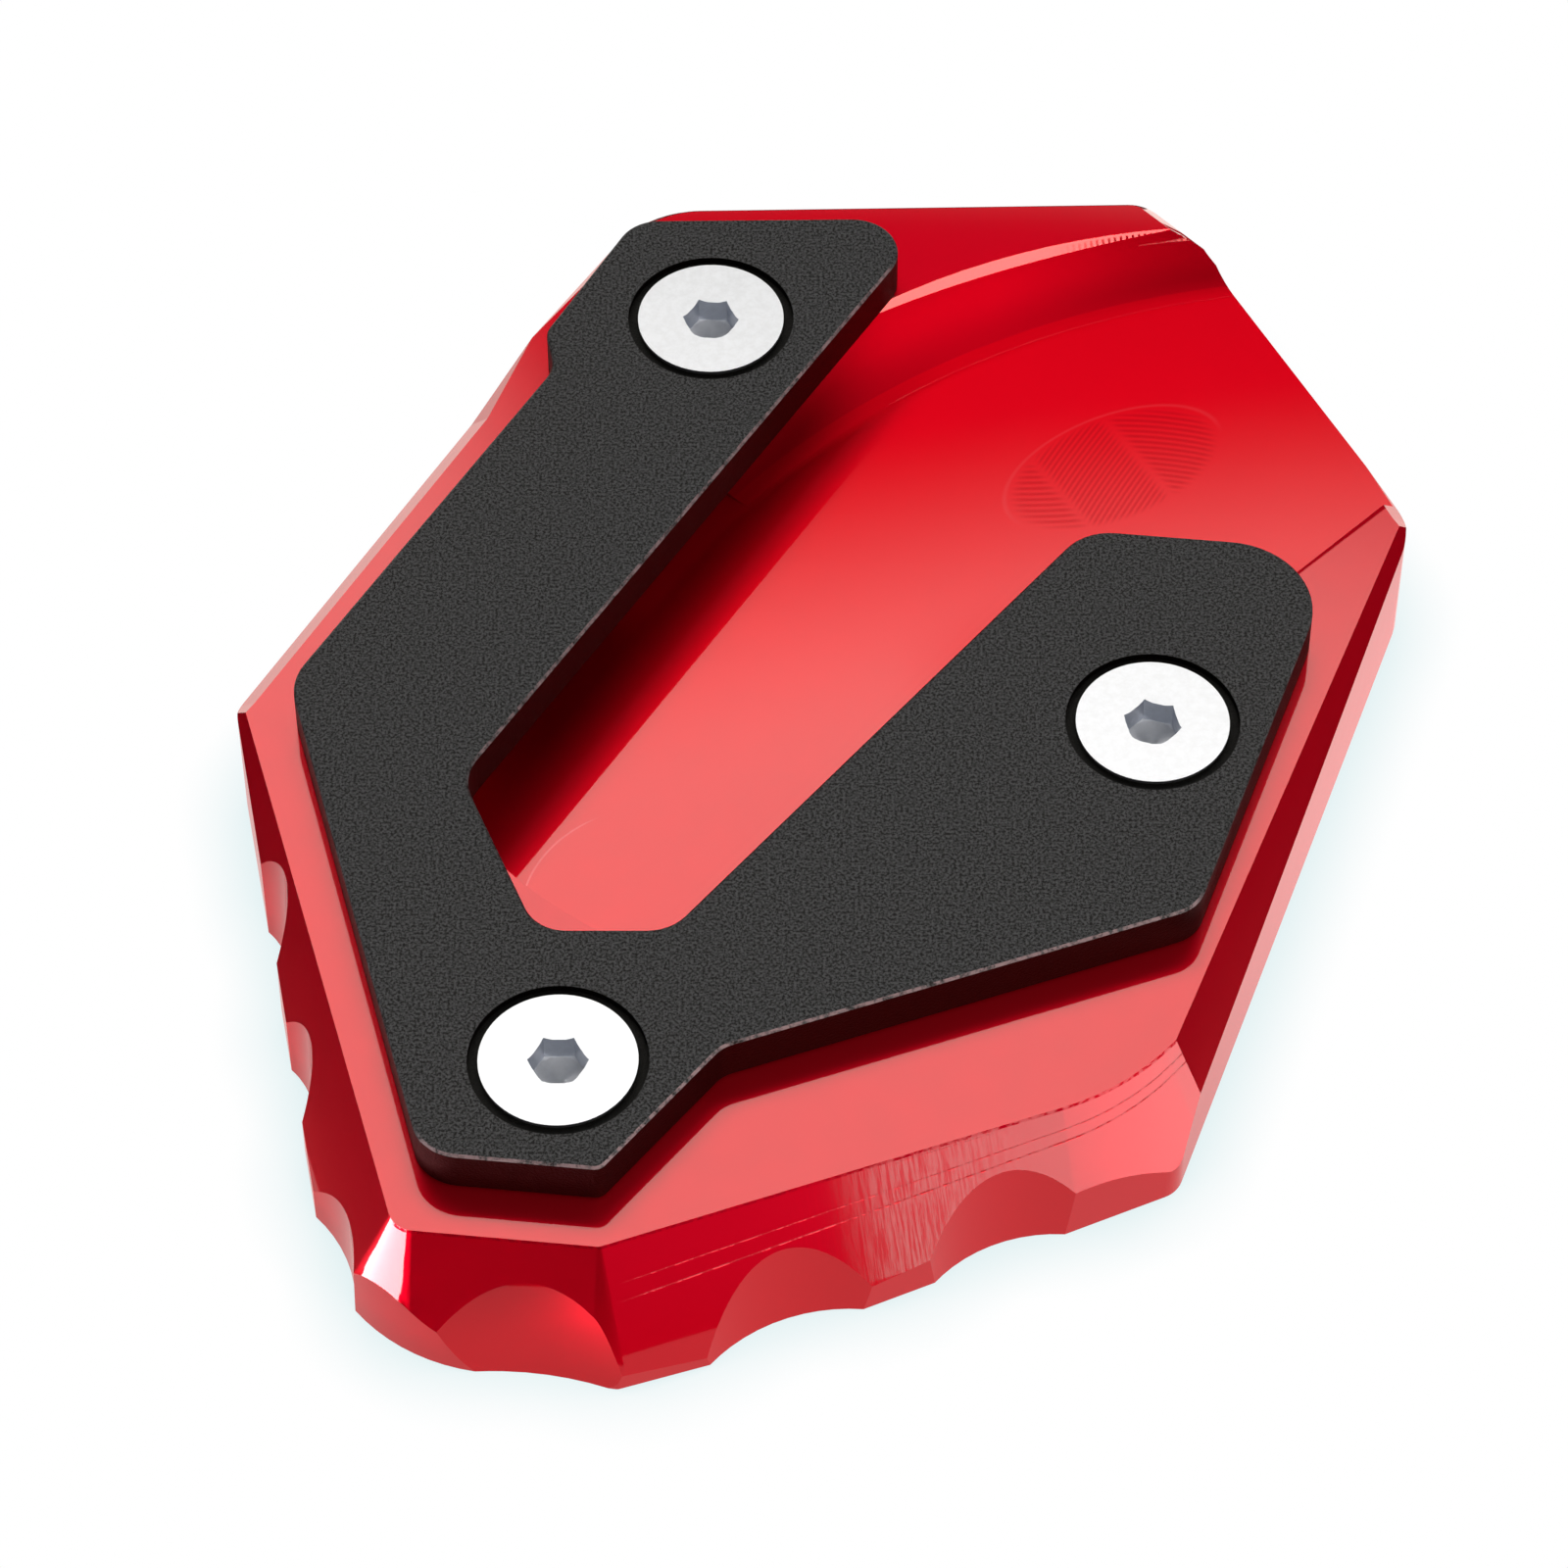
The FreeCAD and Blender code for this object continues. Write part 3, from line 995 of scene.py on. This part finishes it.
@dataclass(frozen=True)
class Studio:
    """The pale floor, the white surroundings, the canopy and the light cards."""

    canopy: Canopy = Canopy()
    cards: tuple = (
        LightCard("front_right_panel", -31.0, -7.0, 54.6, 30.0, 3.4, softness=0.03, colour=(0.57, 0.98, 0.90)),
        LightCard("left_glint", -152.5, -16.0, 69.0, 24.0, 14.0, softness=0.05, colour=(0.9, 1.0, 1.0)),
        LightCard("back_glow", 86.0, -25.0, 84.0, 24.0, 1.3),
        LightCard("front_high_strip", -57.0, 36.5, 54.0, 17.0, 6.5, colour=(1.0, 0.9, 0.76)),
        LightCard("front_sky", -90.0, 56.0, 70.0, 24.0, 1.6),
        LightCard("right_fill", -12.0, 6.0, 60.0, 22.0, 4.2, Seen.DIFFUSE, colour=WHITE),
    )

    floor_half: float = 0.6
    floor_z: float = -0.0001
    floor_colour: tuple = (0.7, 0.7, 0.7)
    shadow_colour: tuple = (0.62, 0.80, 0.82)
    shadow_reach: float = 0.006
    shadow_power: float = 1.2
    shadow_samples: int = 16

    glow_margin: float = 0.008
    glow_front: float = 0.022
    glow_left: float = -0.026
    glow_z: float = -0.001
    glow_colour: tuple = (1.0, 0.62, 0.60)
    glow_strength: float = 0.78
    glow_gain: float = 0.3
    glow_lean: float = 0.3
    glow_rise: tuple = (10.0, 45.0)

    ambient: float = 0.58
    ambient_lean: tuple = (0.8, 0.45)

    def build(self) -> None:
        """Builds the whole stage."""
        self.canopy.build()
        for card in self.cards:
            card.build()
        self.floor()
        self.floor_glow()
        self.world()

    def floor(self) -> None:
        """Builds the floor, which the camera sees as white with a faint cool shadow by the object."""
        corners = [(a * self.floor_half, b * self.floor_half, 0.0) for a, b in SQUARE]
        floor, shader = new_object("floor", corners, [(0, 1, 2, 3)])
        floor.location.z = self.floor_z
        openness = shader.node("AmbientOcclusion", {"Color": WHITE, "Distance": self.shadow_reach}, output="AO",
                               samples=self.shadow_samples)
        tint = shader.mix(openness ** self.shadow_power, self.shadow_colour, WHITE)
        shown = shader.node("Emission", {"Color": tint, "Strength": 1.0})
        real = shader.node("BsdfDiffuse", {"Color": self.floor_colour})
        camera_ray = shader.node("LightPath", output="Is Camera Ray")
        shader.surface(shader.node("MixShader", {0: camera_ray, 1: real, 2: shown}))
        floor.visible_glossy = False

    def floor_glow(self) -> None:
        """Builds the bright patch of floor that only the object's upright sides mirror.

        Its outline is the base's hull, with each corner moved away from the middle by the margin. The
        corners in front of the middle also move forwards, apart from those at the far left.
        """
        base = frame["nodes"]["base_plate"]
        place = np.zeros(len(base.data.vertices) * 3, np.float32)
        base.data.vertices.foreach_get("co", place)
        flat = place.reshape(-1, 3)[:, :2]
        hull = flat[np.array(convex_hull_2d([tuple(p) for p in flat.tolist()]))]
        centre = hull.mean(0)
        radii = np.linalg.norm(hull - centre, axis=1, keepdims=True)
        ring = hull + (hull - centre) / radii * self.glow_margin
        in_front = (hull[:, 1] < centre[1]) & (hull[:, 0] > self.glow_left)
        ring[:, 1] -= np.where(in_front, self.glow_front, 0.0)
        corners = np.column_stack([ring, np.full(len(ring), self.glow_z)])
        glow, shader = new_object("floor_glow", corners.tolist(), [tuple(range(len(corners)))])
        spot = shader.object_place()
        rise = shader.ramp(spot.x + self.glow_lean * spot.y, *self.glow_rise)
        strength = self.glow_strength + self.glow_gain * rise
        shader.surface(shader.node("Emission", {"Color": self.glow_colour, "Strength": strength}))
        glow.visible_camera = False
        glow.visible_diffuse = False
        glow.visible_transmission = False
        glow.visible_shadow = False

    def world(self) -> None:
        """Lights the matt surfaces, more from the right, and shows white to the camera."""
        world = bpy.data.worlds.new("studio")
        bpy.context.scene.world = world
        world.use_nodes = True
        shader = Shader(world.node_tree)
        camera_ray = shader.node("LightPath", output="Is Camera Ray")
        glossy_ray = shader.node("LightPath", output="Is Glossy Ray")
        level, lean = self.ambient_lean
        rightward = shader.parts(shader.node("TexCoord", output="Generated"))[0]
        strength = self.ambient * (level + lean * rightward) * (1.0 - glossy_ray)
        dim = shader.node("Background", {"Color": WHITE, "Strength": strength})
        white = shader.node("Background", {"Color": WHITE, "Strength": 1.0})
        shader.surface(shader.node("MixShader", {0: camera_ray, 1: dim, 2: white}), world=True)


def build_camera() -> None:
    """Sets the camera where the photograph was taken from."""
    data = bpy.data.cameras.new("camera")
    data.lens = LENS_MM
    data.sensor_width = SENSOR_MM
    data.clip_end = 10.0
    camera = bpy.data.objects.new("camera", data)
    elevation = math.radians(CAMERA_ELEVATION)
    away = Vector((0.0, -math.cos(elevation), math.sin(elevation)))
    camera.location = (Vector(AIM_MM) + away * CAMERA_DISTANCE_MM) * MM
    camera.rotation_euler = (math.pi / 2 - elevation, 0.0, 0.0)
    bpy.context.scene.collection.objects.link(camera)
    bpy.context.scene.camera = camera


class Piece(Enum):
    """The kinds of pieces, by the start of their names."""

    BASE = "base_plate"
    PLATE = "clamp_plate"
    SCREW = "clamp_screw"


@dataclass(frozen=True)
class FootEnlarger:
    """The base, the clamp plate and its screws, with a finish for each kind of piece."""

    base: AnodisedRed = AnodisedRed()
    plate: BlastedBlack = BlastedBlack()
    screw: BrightSteel = BrightSteel()

    def dress(self, nodes: dict) -> None:
        """Gives every CAD node its material.

        Args:
            nodes: The CAD objects by name.
        """
        finishes = {
            Piece.BASE: self.base.build(),
            Piece.PLATE: self.plate.build(),
            Piece.SCREW: self.screw.build(),
        }
        for name, node in nodes.items():
            material = next(finishes[piece] for piece in Piece if name.startswith(piece.value))
            node.data.materials.clear()
            node.data.materials.append(material)
            log.info("%s is finished in %s", name, material.name)


def main() -> None:
    """Builds the scene round the CAD frame."""
    logging.basicConfig(level=logging.INFO)
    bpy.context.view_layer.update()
    FootEnlarger().dress(frame["nodes"])
    Studio().build()
    build_camera()
    scene = bpy.context.scene
    scene.view_settings.view_transform = "Standard"


if __name__ == "__main__":
    main()
